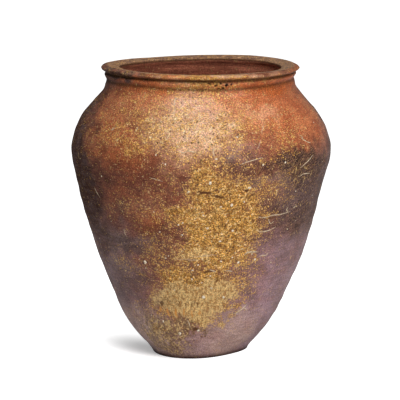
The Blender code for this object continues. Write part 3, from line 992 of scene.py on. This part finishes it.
def make_grains(grid):
    """White feldspar grains that stand a little out of the wall."""
    rng = np.random.default_rng(SEEDS["grains"])
    grains = bmesh.new()
    for degrees, height, size in all_grains():
        place, outward = grid.spot(degrees, height)
        turn = outward.to_track_quat("Z", "Y").to_matrix().to_4x4()
        long, broad = size * rng.uniform(*GRAIN_LENGTH), size * rng.uniform(*GRAIN_BREADTH)
        shape = (
            Matrix.Translation(place) @ turn @ Matrix.Rotation(rng.uniform(0, math.pi), 4, "Z")
            @ Matrix.Diagonal((long, broad, size * GRAIN_THICKNESS, 1))
        )
        lump = bmesh.ops.create_icosphere(grains, **GRAIN_BALL)["verts"]
        for vertex in lump:
            vertex.co *= 1 + GRAIN_ROUGH * rng.uniform(-1, 1)
        bmesh.ops.transform(grains, matrix=shape, verts=lump)
    stone = pale_mineral("feldspar", FELDSPAR_STAINED, FELDSPAR)
    add_small_shapes("feldspar_grains", grains, stone)


def smooth_path(corners):
    """Points in degrees and metres along a smooth line through the corners."""
    corners = np.array(corners) / (1, MM)
    ends = np.vstack([2 * corners[0] - corners[1], corners, 2 * corners[-1] - corners[-2]])
    path = []
    for k in range(len(corners) - 1):
        before, start, end, after = ends[k : k + 4]
        for t in np.arange(SLIVER_STEPS) / SLIVER_STEPS:
            path.append(curve(t, start, end, (end - before) / 2, (after - start) / 2))
    return path + [corners[-1]]


def make_slivers(grid):
    """Thin pale strings of glaze on the wall, as closed lens-shaped bodies."""
    rng = np.random.default_rng(SEEDS["slivers"])
    slivers = bmesh.new()
    for breadth, corners in SLIVERS:
        path = [grid.spot(*place) for place in smooth_path(corners)]
        length = len(path) + 2 * SLIVER_END - 1
        rings = []
        for k, (place, outward) in enumerate(path):
            ahead = path[min(k + 1, len(path) - 1)][0] - path[max(k - 1, 0)][0]
            aside = ahead.cross(outward).normalized()
            share = math.sin(math.pi * (k + SLIVER_END) / length) ** SLIVER_TAPER
            half = breadth / MM / 2 * share * rng.uniform(*SLIVER_WOBBLE)
            ring = []
            for angle in np.arange(SLIVER_SIDES) * math.tau / SLIVER_SIDES:
                lift = SLIVER_RISE * share * math.sin(angle)
                offset = aside * half * math.cos(angle) + outward * lift
                ring.append(slivers.verts.new(place + offset))
            rings.append(ring)
        for near, far in zip(rings, rings[1:]):
            for i in range(SLIVER_SIDES):
                j = (i + 1) % SLIVER_SIDES
                slivers.faces.new((near[i], near[j], far[j], far[i]))
        slivers.faces.new(rings[0][::-1])
        slivers.faces.new(rings[-1])
    bmesh.ops.recalc_face_normals(slivers, faces=slivers.faces)
    glaze = pale_mineral("milky_glaze", MILKY_DEEP, MILKY)
    add_small_shapes("glaze_slivers", slivers, glaze)


def make_skin():
    grid = Skin()
    grid.finish_fields()
    grid.relief()
    skin = add_piece("jar_skin", grid.mesh("jar_skin"), stoneware(grid))
    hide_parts("jar_body")
    make_grains(grid)
    make_slivers(grid)


def make_floor():
    """Floor that the eye sees as white, apart from the jar's soft shadow on it."""
    bpy.ops.mesh.primitive_plane_add(size=FLOOR_SIZE, location=(0, 0, 0))
    floor = bpy.context.object
    floor.name = "studio_floor"
    recipe = Recipe(bpy.data.materials.new("studio_white"))
    seen, glossy = recipe.rays()
    place = recipe.node("NewGeometry", {}, {}).outputs["Position"]
    local = recipe.framed(place, SHADOW_PLACE, (0, 0, SHADOW_TURN), SHADOW_STRETCH)
    away = recipe.vectors("LENGTH", local, output="Value")
    fill = recipe.ramp(away, *SHADOW_FADE, FLOOR_FILL, 1)
    glow = recipe.add(recipe.times(seen, fill), recipe.times(glossy, FLOOR_GLOSS))
    recipe.feed(recipe.tree.nodes["Principled BSDF"], {
        "Base Color": recipe.mix(seen, FLOOR_BOUNCE, FLOOR_WHITE), "Emission Color": WHITE,
        "Emission Strength": glow, "Specular IOR Level": 0,
    })
    floor.data.materials.append(recipe.owner)


def make_world():
    """White backdrop for the eye, and a weaker even light for the jar.

    Gloss shows the white sweep behind the jar and on its right, and a dim room elsewhere."""
    recipe = Recipe(bpy.data.worlds.new("studio"))
    seen, glossy = recipe.rays()
    toward = recipe.node("TexCoord", {}, {}).outputs["Generated"]
    facing = recipe.vectors("DOT_PRODUCT", toward, SWEEP_SIDE, output="Value")
    sweep = recipe.ramp(facing, *SWEEP_FADE, WORLD_LIGHT, 1)
    rest = recipe.maths("SUBTRACT", 1, recipe.most(seen, glossy))
    light = recipe.add(seen, recipe.times(glossy, sweep), recipe.times(rest, WORLD_LIGHT))
    recipe.feed(recipe.tree.nodes["Background"], {"Color": WHITE, "Strength": light})
    bpy.context.scene.world = recipe.owner


def add_to_studio(name, device, place, aim):
    """Object of a lamp or a camera that looks from its place at the aim."""
    holder = bpy.data.objects.new(name, device)
    holder.location = place
    direction = Vector(aim) - Vector(place)
    holder.rotation_euler = direction.to_track_quat("-Z", "Y").to_euler()
    bpy.context.scene.collection.objects.link(holder)
    return holder


def make_lamp(name, place, size, power):
    lamp = bpy.data.lights.new(name, "AREA")
    lamp.shape = "RECTANGLE"
    lamp.size, lamp.size_y = size
    lamp.energy = power
    add_to_studio(name, lamp, place, JAR_MIDDLE)


def make_camera():
    camera = bpy.data.cameras.new("camera")
    camera.angle = FIELD_OF_VIEW
    bpy.context.scene.camera = add_to_studio("camera", camera, CAMERA_PLACE, CAMERA_AIM)


def make_studio():
    make_world()
    make_floor()
    for lamp in LAMPS:
        make_lamp(*lamp)
    make_camera()
    bpy.context.scene.view_settings.view_transform = "Standard"


make_studio()
make_skin()
